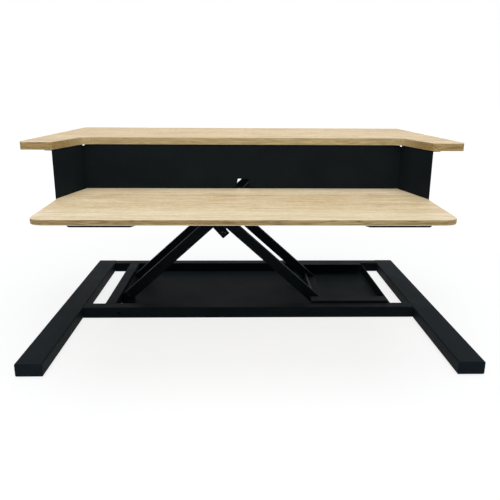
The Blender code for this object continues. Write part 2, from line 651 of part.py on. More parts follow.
def gas_spring(parent):
    """A lockable gas spring: the cylinder on the inner frame's lugs, the rod up to the platform."""
    lower = Vector((ARM_LOWER_LENGTH + LUG_ALONG, 0, -LUG_DROP))
    tilt = Matrix.Rotation(-LIFT_ANGLE, 3, "Y")
    upper = UPPER_PIVOT + Vector((SPRING_TOP_X, 0, SPRING_TOP_Z))
    reach = tilt.inverted() @ (upper - LOWER_PIVOT) - lower
    span = reach.length
    swing = pivot("gas_spring_pivot", parent, lower, -math.atan2(reach.z, reach.x))

    eye = rod(EYE_RADIUS, -EYE_WIDTH / 2, EYE_WIDTH / 2)
    cylinder = piece("gas_spring_cylinder", eye, "black steel", swing)
    barrel_end = EYE_SEAT + CYLINDER_LENGTH
    boolean(cylinder, [along_x(CYLINDER_RADIUS, EYE_SEAT, barrel_end)], "UNION")
    boolean(cylinder, [rod(PIVOT_RADIUS + GAP, -EYE_WIDTH, EYE_WIDTH),
                       along_x(ROD_RADIUS + GAP, CYLINDER_BORE, barrel_end + EYE_RADIUS)], "DIFFERENCE")

    slider = pivot("gas_spring_stroke", swing, (span, 0, 0))
    eye = rod(EYE_RADIUS, -EYE_WIDTH / 2, EYE_WIDTH / 2)
    plunger = piece("gas_spring_rod", eye, "chrome", slider)
    boolean(plunger, [along_x(HEAD_RADIUS, -EYE_SEAT - HEAD_LENGTH, -EYE_SEAT),
                      along_x(ROD_RADIUS, ROD_TAIL - span, -EYE_RADIUS)], "UNION")
    cheek = SPRING_CHEEK_SPACE / 2 - GAP
    boolean(plunger, [rod(PIVOT_RADIUS, -cheek, cheek)], "UNION")


def along_x(radius, low, high):
    """A round bar along X."""
    bm = bmesh.new()
    turn = Matrix.Rotation(QUARTER_TURN, 4, "Y")
    bmesh.ops.create_cone(bm, cap_ends=True, segments=ROUND_SEGMENTS, radius1=radius, radius2=radius,
                          depth=high - low, matrix=Matrix.Translation(((low + high) / 2, 0, 0)) @ turn)
    return mesh_from(bm, "bar")


def riser_x(y):
    """Half the riser's width at a depth y: the wings run along the shelf's recess."""
    return RECESS_REAR_WIDTH / 2 + RISER_SETBACK + FLARE * (RECESS_Y - y)


def platform(parent):
    """Everything that rises: boards, riser, plate, brackets and paddles."""
    shift = Vector((PLATFORM_X, 0, 0)) - UPPER_PIVOT
    upper_shelf(parent, shift)
    keyboard_tray(parent, shift)
    riser_panel(parent, shift)
    lift_plate(parent, shift)
    for side in (-1, 1):
        release_paddle(side, parent, shift)


def upper_shelf(parent, shift):
    """The monitor shelf: a board with a recess cut into its front."""
    half, rear = SHELF_WIDTH / 2, SHELF_FRONT_Y + SHELF_DEPTH
    inner = RECESS_REAR_WIDTH / 2
    right = [(inner, RECESS_Y, RECESS_CORNER), (inner + RECESS_FLARE, SHELF_FRONT_Y, WING_CORNER),
             (half, SHELF_FRONT_Y, SHELF_CORNER), (half, rear, SHELF_CORNER)]
    left = [(-x, y, radius) for x, y, radius in reversed(right)]
    board = prism([rounded(right + left)], SHELF_BOTTOM, SHELF_BOTTOM + SHELF_THICKNESS)
    soften(piece("upper_shelf", board, "oak laminate", parent, shift), BOARD_ROUNDING)


def keyboard_tray(parent, shift):
    """The keyboard tray: it lies on the riser's lower flanges, inside its wings."""
    wide = GAP * math.hypot(1, FLARE)
    rear = RISER_Y - GAP
    right = [(riser_x(rear) - wide, rear, 0), (riser_x(RISER_FRONT_Y) - wide, RISER_FRONT_Y, 0),
             (riser_x(RISER_FRONT_Y) - wide - TRAY_TAPER, TRAY_FRONT_Y, TRAY_CORNER)]
    left = [(-x, y, radius) for x, y, radius in reversed(right)]
    board = prism([rounded(right + left)], TRAY_BOTTOM, TRAY_TOP)
    soften(piece("keyboard_tray", board, "oak laminate", parent, shift), BOARD_ROUNDING)


def riser_panel(parent, shift):
    """The riser: one folded sheet with a back, two wings and flanges for both boards."""
    bend = riser_x(RISER_Y)
    tip = riser_x(RISER_FRONT_Y)
    slope = Vector((FLARE, -1, 0)).normalized()
    start = bend + slope.x * BEND_RELIEF, RISER_Y + slope.y * BEND_RELIEF
    run = BOTTOM_FLANGE + BEND_RELIEF
    inner = bend + slope.x * run, RISER_Y + slope.y * run
    wing = [(bend, RISER_Y), start, inner, (tip, RISER_FRONT_Y)]
    back = bend - BEND_RELIEF
    path = [(-x, y) for x, y in reversed(wing)] + [(-back, RISER_Y), (back, RISER_Y)] + wing

    bm = bmesh.new()
    line = [bm.verts.new((x, y, RISER_BOTTOM)) for x, y in path]
    edges = [bm.edges.new(pair) for pair in zip(line, line[1:])]
    raised = bmesh.ops.extrude_edge_only(bm, edges=edges)["geom"]
    corners = [part for part in raised if isinstance(part, bmesh.types.BMVert)]
    bmesh.ops.translate(bm, vec=(0, 0, RISER_TOP - RISER_BOTTOM), verts=corners)
    outward = Vector((-slope.y, slope.x, 0))
    for level, turned, depth, begin in ((RISER_TOP, 1, TOP_FLANGE, start[0]),
                                        (RISER_BOTTOM, -1, BOTTOM_FLANGE, inner[0])):
        def on_back(middle):
            return abs(middle.z - level) < SAME_PLACE and abs(middle.x) < back

        fold(bm, on_back, Vector((0, turned * depth, 0)))
        for side in (-1, 1):
            def on_wing(middle):
                return abs(middle.z - level) < SAME_PLACE and middle.x * side > begin

            fold(bm, on_wing, Vector((side * outward.x, outward.y, 0)) * turned * WING_FLANGE)
    panel = solid_sheet("riser_panel", bm, Vector((0, -1, 0)), SHEET, parent, shift)
    half = CABLE_HOLE_WIDTH / 2
    narrow, hole_top = half - CABLE_HOLE_TAPER, TRAY_TOP + CABLE_HOLE_HEIGHT
    hole = rounded([(CABLE_HOLE_X - half, TRAY_TOP, 0), (CABLE_HOLE_X + half, TRAY_TOP, 0),
                    (CABLE_HOLE_X + narrow, hole_top, CABLE_HOLE_CORNER),
                    (CABLE_HOLE_X - narrow, hole_top, CABLE_HOLE_CORNER)])
    near, far = RISER_Y - 2 * SHEET, RISER_Y + 2 * SHEET
    cutters = [prism([hole], near, far, "xz")]
    cutters += [rod(NOTCH_RADIUS, near, far, side * bend, RISER_TOP) for side in (-1, 1)]
    boolean(panel, cutters, "DIFFERENCE")


def lift_plate(parent, shift):
    """The plate under the shelf: tracks for the upper rollers and brackets for the outer frame."""
    lowest_roller = PLATFORM_HINGE_X + 2 * ARM_UPPER_LENGTH * math.cos(LOWEST_ANGLE)
    left, right = PLATFORM_HINGE_X - PLATE_LEFT, lowest_roller + PLATE_RIGHT
    half = OUTER_FRAME_DEPTH / 2 + PLATE_MARGIN
    track = right - UPPER_TRACK_LENGTH
    xs = [left, track, right]
    ys = [MECHANISM_Y - half, MECHANISM_Y + half]
    reach = PLATE_TOP - (UPPER_PIVOT.z - ROLLER_RADIUS - RUNNING_GAP - PLATE_SHEET)
    folds = track_folds(ys, PLATE_TOP, -reach, (track, right))
    folded_sheet("lift_plate", xs, ys, PLATE_TOP, folds, PLATE_SHEET, parent, shift)
    ceiling = PLATE_BOTTOM - GAP
    for end, offset in bar_offsets(OUTER_FRAME_DEPTH):
        hinge_bracket(f"upper_bracket_{end}", left, PLATFORM_HINGE_X, offset,
                      UPPER_PIVOT.z - BRACKET_DROP, ceiling, UPPER_PIVOT.z, parent, shift)
        arm_bolt(f"upper_pivot_bolt_{end}", offset, parent)
    spring_bracket(parent, shift, ceiling)


def spring_bracket(parent, shift, ceiling):
    """Two cheeks under the plate that hold the gas spring's upper pin between them."""
    x = PLATFORM_HINGE_X + SPRING_TOP_X
    inside = SPRING_CHEEK_SPACE / 2
    outside = inside + BRACKET_SHEET
    low = ceiling - SPRING_CHEEK_DROP
    floor = ceiling - BRACKET_SHEET
    outline = [(MECHANISM_Y - outside, ceiling), (MECHANISM_Y - outside, low), (MECHANISM_Y - inside, low),
               (MECHANISM_Y - inside, floor), (MECHANISM_Y + inside, floor), (MECHANISM_Y + inside, low),
               (MECHANISM_Y + outside, low), (MECHANISM_Y + outside, ceiling)]
    half = SPRING_CHEEK_LENGTH / 2
    piece("gas_spring_bracket", prism([outline], x - half, x + half, "yz"), "powder coat", parent, shift)


def release_paddle(side, parent, shift):
    """A squeeze paddle on a pin behind it, held by two ears under the tray."""
    name = "left" if side < 0 else "right"
    x = PADDLE_SHIFT + side * PADDLE_SPACING / 2
    axis = Vector((x, PADDLE_AXIS_Y, PADDLE_AXIS_Z))
    half, thick = PADDLE_WIDTH / 2, PADDLE_THICKNESS / 2
    profile = rounded([(side * half, thick, 0), (side * half, -thick, PADDLE_ROUND),
                       (-side * (half - PADDLE_TAPER), -thick, 0), (-side * half, thick, 0)])
    blade = prism([profile], -PADDLE_DEPTH, PADDLE_THICKNESS, "xz")
    paddle = piece(f"release_paddle_{name}", blade, "black plastic", parent, axis + shift)
    bore = along_x(PADDLE_PIN_RADIUS + GAP, -PADDLE_WIDTH, PADDLE_WIDTH)
    boolean(paddle, [bore], "DIFFERENCE")

    ear_in = half + RUNNING_GAP
    ear_out = ear_in + PADDLE_EAR_SHEET
    top = TRAY_BOTTOM - GAP - PADDLE_AXIS_Z
    low = -PADDLE_THICKNESS / 2
    lid = top - PADDLE_EAR_SHEET
    outline = [(-ear_out, top), (-ear_out, low), (-ear_in, low), (-ear_in, lid),
               (ear_in, lid), (ear_in, low), (ear_out, low), (ear_out, top)]
    long = PADDLE_EAR_LENGTH / 2
    saddle = prism([outline], -long, long, "xz")
    holder = piece(f"paddle_bracket_{name}", saddle, "powder coat", parent, axis + shift)
    boolean(holder, [bore.copy()], "DIFFERENCE")
    pin = along_x(PADDLE_PIN_RADIUS, -ear_out, ear_out)
    piece(f"paddle_pin_{name}", pin, "zinc", parent, axis + shift)


def main():
    """Build the converter at its resting height."""
    clear_scene()
    finish("powder coat", (0.012, 0.013, 0.014), 0.5, 0.2)
    finish("black steel", (0.010, 0.010, 0.011), 0.35, 0.4)
    finish("black plastic", (0.013, 0.013, 0.014), 0.45, 0.0)
    finish("rubber", (0.018, 0.018, 0.018), 0.8, 0.0)
    finish("nylon", (0.03, 0.03, 0.032), 0.5, 0.0)
    finish("zinc", (0.45, 0.45, 0.46), 0.35, 1.0)
    finish("chrome", (0.6, 0.6, 0.62), 0.15, 1.0)
    finish("oak laminate", (0.62, 0.47, 0.30), 0.5, 0.0)

    root = pivot("desk_converter_root", None, (0, -ORIGIN_Y, 0))
    base(root)
    lift = pivot("inner_frame_pivot", root, LOWER_PIVOT, -LIFT_ANGLE)
    inner_frame(lift)
    gas_spring(lift)
    cross = pivot("outer_frame_pivot", root, CROSSING, LIFT_ANGLE)
    outer_frame(cross)
    platform(pivot("platform_pivot", root, UPPER_PIVOT))


main()
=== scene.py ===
# %% [markdown]
# # A standing desk converter, dressed for a product picture
#
# The converter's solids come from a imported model, in metres, and they already sit where they belong.
# This lesson gives them their finishes, adds the small pieces that a maker would see up close, and
# sets up the picture. The solids are never moved: what moves them later are the bodies they ride on.

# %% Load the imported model
import json
import math

import bmesh
import bpy
from mathutils import Matrix, Vector


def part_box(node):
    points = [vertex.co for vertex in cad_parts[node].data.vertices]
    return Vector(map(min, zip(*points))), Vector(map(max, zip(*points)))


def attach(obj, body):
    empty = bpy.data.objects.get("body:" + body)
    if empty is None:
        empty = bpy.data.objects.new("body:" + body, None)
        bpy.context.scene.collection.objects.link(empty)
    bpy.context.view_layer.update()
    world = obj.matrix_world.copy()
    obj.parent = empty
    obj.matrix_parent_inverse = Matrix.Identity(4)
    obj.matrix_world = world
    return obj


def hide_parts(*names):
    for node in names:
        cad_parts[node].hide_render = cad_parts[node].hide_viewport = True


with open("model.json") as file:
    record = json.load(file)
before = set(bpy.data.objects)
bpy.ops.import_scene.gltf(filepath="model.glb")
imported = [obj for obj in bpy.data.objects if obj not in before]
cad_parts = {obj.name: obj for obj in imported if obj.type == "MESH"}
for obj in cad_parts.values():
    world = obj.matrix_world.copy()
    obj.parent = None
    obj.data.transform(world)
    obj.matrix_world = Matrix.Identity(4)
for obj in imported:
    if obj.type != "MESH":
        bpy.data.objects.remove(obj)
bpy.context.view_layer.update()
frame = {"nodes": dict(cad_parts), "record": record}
nodes = frame["nodes"]
MM = 0.001

# %% [markdown]
# ## The camera
#
# The photograph was fitted as a pinhole view: a focal length of 560 pixels on a 500 pixel frame, which
# is a 40 mm lens on a 36 mm sensor. The camera stands in front, a little to the left, and looks down by
# about fifteen degrees. It leans by a third of a degree, as a hand-set tripod does. A camera could be
# aimed at the object, but three plain angles are easier to fit one by one.

# %% Place the camera
FRAME_PIXELS = 500
FOCAL_PIXELS = 560
SENSOR_MM = 36
CAMERA_PLACE = (-0.0269, -1.2143, 0.4907)
LOOK_DOWN = math.radians(15.46)
LOOK_RIGHT = math.radians(1.375)
LEAN = math.radians(0.33)

camera = bpy.data.objects.new("photo_camera", bpy.data.cameras.new("photo_camera"))
bpy.context.scene.collection.objects.link(camera)
camera.data.sensor_width = SENSOR_MM
camera.data.lens = SENSOR_MM * FOCAL_PIXELS / FRAME_PIXELS
turn = Matrix.Rotation(-LOOK_RIGHT, 4, "Z") @ Matrix.Rotation(math.pi / 2 - LOOK_DOWN, 4, "X")
camera.matrix_world = Matrix.Translation(CAMERA_PLACE) @ turn @ Matrix.Rotation(LEAN, 4, "Z")
bpy.context.scene.camera = camera
print("lens:", round(camera.data.lens, 2), "mm")

# %% [markdown]
# ## Colour and nodes
#
# Colours are written as the sRGB hex values that a picture editor shows. A renderer works in linear
# light, so one function turns them round. Another adds a shader node with its settings and its inputs,
# and every finish below is made with that one function.

# %% Helpers for finishes
def linear(code):
    """The linear colour of an sRGB hex value."""
    parts = [int(code[index:index + 2], 16) / 255 for index in (1, 3, 5)]
    return [part / 12.92 if part <= 0.04045 else ((part + 0.055) / 1.055) ** 2.4 for part in parts] + [1]


def add(tree, kind, inputs=None, **settings):
    """A node of one kind with its settings; an input is linked from a socket or set to a plain value."""
    node = tree.nodes.new("ShaderNode" + kind)
    for name, value in settings.items():
        setattr(node, name, value)
    for name, value in (inputs or {}).items():
        if isinstance(value, bpy.types.NodeSocket):
            tree.links.new(value, node.inputs[name])
        else:
            node.inputs[name].default_value = value
    return node


def new_finish(name, **sockets):
    """A material: its node tree, its shader with constant sockets set, and its Object coordinates."""
    shade = bpy.data.materials.new(name)
    shade.use_nodes = True
    tree = shade.node_tree
    shader = tree.nodes["Principled BSDF"]
    for socket, value in sockets.items():
        shader.inputs[socket.replace("_", " ")].default_value = value
    return shade, tree, shader, add(tree, "TexCoord").outputs["Object"]


def stops(ramp, *points):
    """Fill a colour ramp with (place, hex colour) points, and give its colour."""
    line = ramp.color_ramp
    while len(line.elements) < len(points):
        line.elements.new(0.5)
    for element, (place, code) in zip(line.elements, points):
        element.position = place
        element.color = linear(code)
    return ramp.outputs["Color"]


def per_metre(along, across):
    """A pattern's scale from the real size of its marks in millimetres: along X, then across Y and Z."""
    return (1 / (along * MM), 1 / (across * MM), 1 / (across * MM))


print("middle grey in linear light:", round(linear("#808080")[0], 3))

# %% [markdown]
# ## White paper
#
# A product like this is shot on white paper that runs out of sight. More light would make plain paper
# white, but it would bleach the object too. So to the camera, and to reflections, the paper is nearly
# white by itself, and the lamps add the last part: only the contact shadow stays grey. Further out than
# the shadow reaches it is wholly white. Light that bounces off it sees plain white paper.

# %% Paper finish
SHADOW_REACH = 0.75
WHITE_REACH = 1.6
PAPER_GLOW = 0.81


def seen_straight(tree):
    """1 where the camera, a reflection or a clear piece looks at a surface, 0 where it only gives light."""
    rays = add(tree, "LightPath").outputs
    seen = add(tree, "Math", {0: rays["Is Camera Ray"], 1: rays["Is Glossy Ray"]}, operation="MAXIMUM")
    seen = add(tree, "Math", {0: seen.outputs[0], 1: rays["Is Transmission Ray"]}, operation="MAXIMUM")
    return seen.outputs[0]


# Uncoated paper scatters light evenly, so the eye sees no gloss on it
paper, tree, shader, place = new_finish("white paper", Base_Color=linear("#F4F4F4"), Roughness=0.9)
away = add(tree, "VectorMath", {0: place}, operation="LENGTH").outputs["Value"]
glow = add(tree, "MapRange", {"Value": away, "From Min": SHADOW_REACH, "From Max": WHITE_REACH,
                              "To Min": PAPER_GLOW, "To Max": 1.0}, interpolation_type="SMOOTHSTEP")
lit = add(tree, "Emission", {"Strength": glow.outputs[0]})
shaded = add(tree, "BsdfDiffuse", {"Color": linear("#8C8E90")})
both = add(tree, "AddShader", {0: lit.outputs[0], 1: shaded.outputs[0]})
look = add(tree, "MixShader", {0: seen_straight(tree), 1: shader.outputs[0], 2: both.outputs[0]})
tree.links.new(look.outputs[0], tree.nodes["Material Output"].inputs["Surface"])
print("made", paper.name)

# %% [markdown]
# ## The floor
#
# The sheet of paper could be curved up behind the object, but white paper in front of a white room shows
# no line where the two meet, so one big flat square is enough.

# %% Floor
FLOOR_SIZE = 40.0

bm = bmesh.new()
bmesh.ops.create_grid(bm, x_segments=1, y_segments=1, size=FLOOR_SIZE / 2)
floor_mesh = bpy.data.meshes.new("studio_floor")
bm.to_mesh(floor_mesh)
bm.free()
floor_mesh.materials.append(paper)
floor = bpy.data.objects.new("studio_floor", floor_mesh)
bpy.context.scene.collection.objects.link(floor)
print("floor:", FLOOR_SIZE, "m")

# %% [markdown]
# ## The room
#
# The room is white to the camera and to reflections, and much softer as a lamp, so that it fills the
# shadows without washing them out. The picture keeps Blender's standard view, in which a colour renders
# about as it is written.

# %% World
WORLD_LAMP = 0.16

world = bpy.data.worlds.new("studio")
bpy.context.scene.world = world
world.use_nodes = True
tree = world.node_tree
tree.nodes.clear()
strength = add(tree, "MapRange", {"Value": seen_straight(tree), "To Min": WORLD_LAMP, "To Max": 1.0})
sky = add(tree, "Background", {"Strength": strength.outputs[0], "Color": (1, 1, 1, 1)})
add(tree, "OutputWorld", {"Surface": sky.outputs[0]})
bpy.context.scene.view_settings.view_transform = "Standard"
print("world as a lamp:", WORLD_LAMP)

# %% [markdown]
# ## The lamps
#
# A small lamp would cut hard shadows. Big square ones stand above, in front and to the right, like soft
# boxes, and give the wide, pale shadow that the photograph shows.

# %% Lamps
LAMP_AIM = Vector((0, 0, 0.25))
# Each lamp's place in metres, the side of its square in metres, and its power in watts
LAMPS = {
    "overhead": ((0.0, -0.1, 2.3), 2.2, 36),
    "front": ((0.0, -1.9, 1.7), 1.4, 14),
    "side": ((2.2, -0.3, 1.4), 1.2, 2),
}

for name, (spot, size, watts) in LAMPS.items():
    lamp = bpy.data.objects.new(name, bpy.data.lights.new(name, "AREA"))
    bpy.context.scene.collection.objects.link(lamp)
    lamp.data.size = size
    lamp.data.energy = watts
    lamp.location = spot
    lamp.rotation_euler = (LAMP_AIM - Vector(spot)).to_track_quat("-Z", "Y").to_euler()
print("lamps:", list(LAMPS))

# %% [markdown]
# ## Pale oak laminate
#
# The boards are taken as particle board under a printed oak paper, pressed to a satin skin. A picture
# could carry the print, but noise has no seams and takes real sizes. Oak shows soft bands as wide as a
# hand, streaks of a few millimetres, pores like pencil dashes, here and there a darker vein, and small
# ray flecks. The edge band has finer, swirling marks. Each is a noise of its own, and all but the
# flecks are stretched along the board.

# %% Marks of the oak print
# Length along the board and width across it in millimetres, fine detail, and how far the mark is bent
OAK_MARKS = {
    "bands": (420, 46, 3, 0.7),
    "streaks": (110, 8, 5, 0.5),
    # Real pores are under half a millimetre wide; they are drawn ten times as wide to show
    "pores": (42, 4.6, 2, 0.0),
    "veins": (380, 21, 5, 0.9),
    # Ray flecks are short, and about as broad as they are long
    "flecks": (8, 11, 4, 0.8),
    "swirls": (70, 3.4, 4, 2.4),
}
MARK_ROUGHNESS = 0.55

# A pressed resin skin: the eye sees the print through a clear, low gloss
oak, tree, shader, place = new_finish("oak laminate", IOR=1.5, Specular_IOR_Level=0.25)
mark = {}
for name, (along, across, detail, bend) in OAK_MARKS.items():
    scaled = add(tree, "Mapping", {"Vector": place, "Scale": per_metre(along, across)})
    noise = add(tree, "TexNoise", {"Vector": scaled.outputs[0], "Scale": 1.0, "Detail": detail,
                                   "Roughness": MARK_ROUGHNESS, "Distortion": bend})
    mark[name] = noise.outputs["Fac"]
print("oak marks:", list(mark))

# %% [markdown]
# ## The print's colours
#
# A colour ramp turns each noise into tones. The broad bands come first and the streaks are mixed over
# them. Pores, veins and flecks only darken, as ink on ink does, so they are multiplied.

# %% Layers of the print
# Share of each layer, how it is laid on, and its tones
LAYERS = {
    "streaks": (0.6, "MIX", ((0.35, "#B19264"), (0.48, "#DAC195"), (0.64, "#EFE0BF"))),
    "pores": (0.5, "MULTIPLY", ((0.30, "#B49A70"), (0.47, "#FFFFFF"))),
    "veins": (0.6, "MULTIPLY", ((0.30, "#B2946A"), (0.42, "#FFFFFF"))),
    "flecks": (0.55, "MULTIPLY", ((0.36, "#DCD2C0"), (0.60, "#FFFFFF"))),
}

printed = stops(add(tree, "ValToRGB", {"Fac": mark["bands"]}),
                (0.34, "#CFB283"), (0.50, "#DEC598"), (0.66, "#E8D4AC"))
for name, (share, how, tones) in LAYERS.items():
    layer = stops(add(tree, "ValToRGB", {"Fac": mark[name]}), *tones)
    laid = add(tree, "Mix", {0: share, 6: printed, 7: layer}, data_type="RGBA", blend_type=how)
    printed = laid.outputs[2]
print("print layers:", 1 + len(LAYERS))

# %% [markdown]
# ## Painted light on the tray
#
# The tray lies partly in the shelf's shadow, yet it looks nearly as pale as the shelf, and paler along
# its front. So painted light is laid over its print, most of all in strips along its front and back. Two
# finishes could do that, but one keeps the marks alike: height tells the boards apart, and the distance
# from the middle of the tray gives the strips. Screening with beige paints the light on and keeps the
# print's marks.

# %% Painted light on the tray
TRAY_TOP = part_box("keyboard_tray")[1][2]
SHELF_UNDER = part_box("upper_shelf")[0][2]
BETWEEN_BOARDS = (TRAY_TOP + SHELF_UNDER) / 2
TRAY_LIGHT_MIDDLE = -0.195
LIGHT_STRIP_START = 50 * MM
LIGHT_STRIP_FULL = 120 * MM
MIDDLE_LIGHT_SHARE = 0.5

where = add(tree, "SeparateXYZ", {0: place}).outputs
on_tray = add(tree, "Math", {0: where["Z"], 1: BETWEEN_BOARDS}, operation="LESS_THAN")
off = add(tree, "Math", {0: where["Y"], 1: TRAY_LIGHT_MIDDLE}, operation="SUBTRACT")
off = add(tree, "Math", {0: off.outputs[0]}, operation="ABSOLUTE")
# Painted light: its share grows from the middle of the tray out to the strips at its front and back
light_strip = add(tree, "MapRange", {"Value": off.outputs[0], "From Min": LIGHT_STRIP_START, "From Max": LIGHT_STRIP_FULL,
                               "To Min": MIDDLE_LIGHT_SHARE, "To Max": 1.0}, interpolation_type="SMOOTHSTEP")
share = add(tree, "Math", {0: on_tray.outputs[0], 1: light_strip.outputs[0]}, operation="MULTIPLY")
# Painted light: beige screened over the tray's print, so the shaded tray comes out nearly as pale as the
# shelf
painted_tray_light = add(tree, "Mix", {0: share.outputs[0], 6: printed, 7: linear("#B2A084")}, data_type="RGBA",
            blend_type="SCREEN")
print("boards part at", round(BETWEEN_BOARDS, 4), "m")

# %% [markdown]
# ## The edge band
#
# The cut edges carry a browner band with swirls. Towards the back of the shelf's recess, which gets less
# light, painted light makes the band greyer and paler. Along the top of the shelf's edge, within about a
# millimetre of its face, runs a painted highlight: a pale line where the rounded arris catches the light.
# The line could be a thin strip of its own, but a step in height draws it without new geometry.

# %% Edge band
SHELF_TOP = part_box("upper_shelf")[1][2]
RECESS_PALE_START = -0.14
RECESS_PALE_FULL = -0.06
HIGHLIGHT_START = 2.0 * MM
HIGHLIGHT_FULL = 1.2 * MM
PAINTED_HIGHLIGHT = linear("#F3E6CB")

band = stops(add(tree, "ValToRGB", {"Fac": mark["swirls"]}),
             (0.36, "#82683F"), (0.50, "#B09361"), (0.63, "#CBB07C"))
# Painted light: the band is screened greyer and paler towards the back of the recess, where less light
# falls
rear = add(tree, "MapRange", {"Value": where["Y"], "From Min": RECESS_PALE_START,
                              "From Max": RECESS_PALE_FULL}, interpolation_type="SMOOTHSTEP")
edge = add(tree, "Mix", {0: rear.outputs[0], 6: band, 7: linear("#8C8366")}, data_type="RGBA",
           blend_type="SCREEN")
# Painted highlight: a pale line along the top of the shelf's edge, where the rounded arris catches the
# light
highlight = add(tree, "MapRange", {"Value": where["Z"], "From Min": SHELF_TOP - HIGHLIGHT_START,
                              "From Max": SHELF_TOP - HIGHLIGHT_FULL})
edge = add(tree, "Mix", {0: highlight.outputs[0], 6: edge.outputs[2], 7: PAINTED_HIGHLIGHT}, data_type="RGBA")
print("skin line:", round(HIGHLIGHT_FULL / MM, 1), "mm under", round(SHELF_TOP, 4), "m")

# %% [markdown]
# ## Faces, edges and the rim between them
#
# The boards are single solids, so the finish itself has to know a face from an edge. Which way a surface
# is turned tells it: flat faces take the print, upright edges the band, and the rounded rim between them
# gets a painted highlight, paler than both.

# %% Faces, edges and rim
EDGE_UP_TO = 0.35
FACE_FROM = 0.75

normal = add(tree, "NewGeometry").outputs["Normal"]
upward = add(tree, "SeparateXYZ", {0: normal}).outputs["Z"]
level = add(tree, "Math", {0: upward}, operation="ABSOLUTE").outputs[0]
flat = add(tree, "MapRange", {"Value": level, "From Min": EDGE_UP_TO, "From Max": FACE_FROM})
colour = add(tree, "Mix", {0: flat.outputs[0], 6: edge.outputs[2], 7: painted_tray_light.outputs[2]}, data_type="RGBA")
# Painted highlight on the rounded rim, where a surface is turned between upright and flat
rim_highlight = stops(add(tree, "ValToRGB", {"Fac": level}),
            (0.2, "#000000"), (0.45, "#FFFFFF"), (0.93, "#FFFFFF"), (0.99, "#000000"))
colour = add(tree, "Mix", {0: rim_highlight, 6: colour.outputs[2], 7: PAINTED_HIGHLIGHT}, data_type="RGBA")
tree.links.new(colour.outputs[2], shader.inputs["Base Color"])
print("nodes in", oak.name, "so far:", len(tree.nodes))

# %% [markdown]
# ## Satin gloss and pores
#
# The press plate leaves a satin gloss that follows the streaks a little, and pores that can be felt.
# The pores are far too shallow for geometry, so a bump is enough.

# %% Gloss and pores of the oak
NOISE_LOW = 0.3
NOISE_HIGH = 0.7
SATIN = 0.4
DULL_SATIN = 0.54
PORE_STRENGTH = 0.10
GRAIN_DEPTH = 0.1 * MM

gloss = add(tree, "MapRange", {"Value": mark["streaks"], "From Min": NOISE_LOW, "From Max": NOISE_HIGH,
                               "To Min": SATIN, "To Max": DULL_SATIN})
tree.links.new(gloss.outputs[0], shader.inputs["Roughness"])
relief = add(tree, "Bump", {"Height": mark["pores"], "Strength": PORE_STRENGTH, "Distance": GRAIN_DEPTH})
tree.links.new(relief.outputs[0], shader.inputs["Normal"])
print("made", oak.name)

# %% [markdown]
# ## One recipe for coated, moulded and plated surfaces
#
# Powder coat is sprayed as dust and melted, so it dries with a fine orange peel and a satin gloss that
# varies a little. Moulded plastic has a tighter grain, rubber a dusty one, and plated metal a faint one.
# Each could be a finish of its own, but they differ only in sizes: a colour that wanders between two
# close tones, a roughness that wanders with it, and a bump.

# %% Grained finish
# Patches are in millimetres, and so are the grains of the finishes below. Mouldings, oxide and plating
# have real grains under half a millimetre wide; theirs are drawn at 0.5 to 0.9 mm to show
PATCH = 60
ROUGHNESS_SWING = 0.05


def grained(name, dark, light, roughness, grain, bump, metallic=0.0, gloss=0.5):
    """A finish of two close tones, with patches and a grain whose sizes are in millimetres."""
    shade, tree, shader, place = new_finish(name, Metallic=metallic, Specular_IOR_Level=gloss)
    wide = add(tree, "Mapping", {"Vector": place, "Scale": per_metre(PATCH, PATCH)})
    patches = add(tree, "TexNoise", {"Vector": wide.outputs[0], "Scale": 1.0, "Detail": 3.0}).outputs["Fac"]
    tight = add(tree, "Mapping", {"Vector": place, "Scale": per_metre(grain, grain)})
    peel = add(tree, "TexNoise", {"Vector": tight.outputs[0], "Scale": 1.0, "Detail": 2.0}).outputs["Fac"]
    tone = add(tree, "Mix", {"A": patches, "B": peel, "Factor": 0.5})
    colour = stops(add(tree, "ValToRGB", {"Fac": tone.outputs[0]}), (0.35, dark), (0.65, light))
    tree.links.new(colour, shader.inputs["Base Color"])
    sheen = add(tree, "MapRange", {"Value": patches, "From Min": NOISE_LOW, "From Max": NOISE_HIGH,
                                   "To Min": roughness - ROUGHNESS_SWING,
                                   "To Max": roughness + ROUGHNESS_SWING})
    tree.links.new(sheen.outputs[0], shader.inputs["Roughness"])
    relief = add(tree, "Bump", {"Height": peel, "Strength": bump, "Distance": GRAIN_DEPTH})
    tree.links.new(relief.outputs[0], shader.inputs["Normal"])
    return shade


print("patches:", PATCH, "mm wide")

# %% [markdown]
# ## The blacks
#
# In the photograph the frame's blacks are cool and soft, with hardly any shine. Each black differs in
# how it was made, and so in its grain and its gloss. The rollers are small in it and the rubber pads are
# hidden, so their blacks are typical ones.

# %% Black finishes
FINISHES = {"oak_laminate": oak}
# Sprayed and melted dust: an even, slightly blue black with a soft orange peel about a millimetre wide
FINISHES["powder_coat"] = grained("satin powder coat", "#161C20", "#1C2327", roughness=0.55, grain=1.1,
                                  bump=0.22, gloss=0.02)
# Blackened in a hot bath: thinner and a little shinier than paint, with the steel's own faint grain
FINISHES["black_steel"] = grained("black oxide steel", "#111315", "#191B1D", roughness=0.42, grain=0.8,
                                  bump=0.12, gloss=0.08)
# Moulded against a textured steel: a tight, even grain that breaks up reflections
FINISHES["black_plastic"] = grained("moulded ABS", "#191F24", "#1F272D", roughness=0.5, grain=0.7,
                                    bump=0.3, gloss=0.02)
# Moulded and dusty: almost no shine at all
FINISHES["rubber"] = grained("moulded rubber", "#131313", "#1C1C1C", roughness=0.85, grain=0.9, bump=0.5,
                             gloss=0.05)
# Cut on a lathe: smoother than the mouldings, with a dull, waxy shine
FINISHES["nylon"] = grained("turned nylon", "#18191A", "#202122", roughness=0.5, grain=0.6, bump=0.15,
                            gloss=0.08)
print("blacks:", len(FINISHES) - 1)

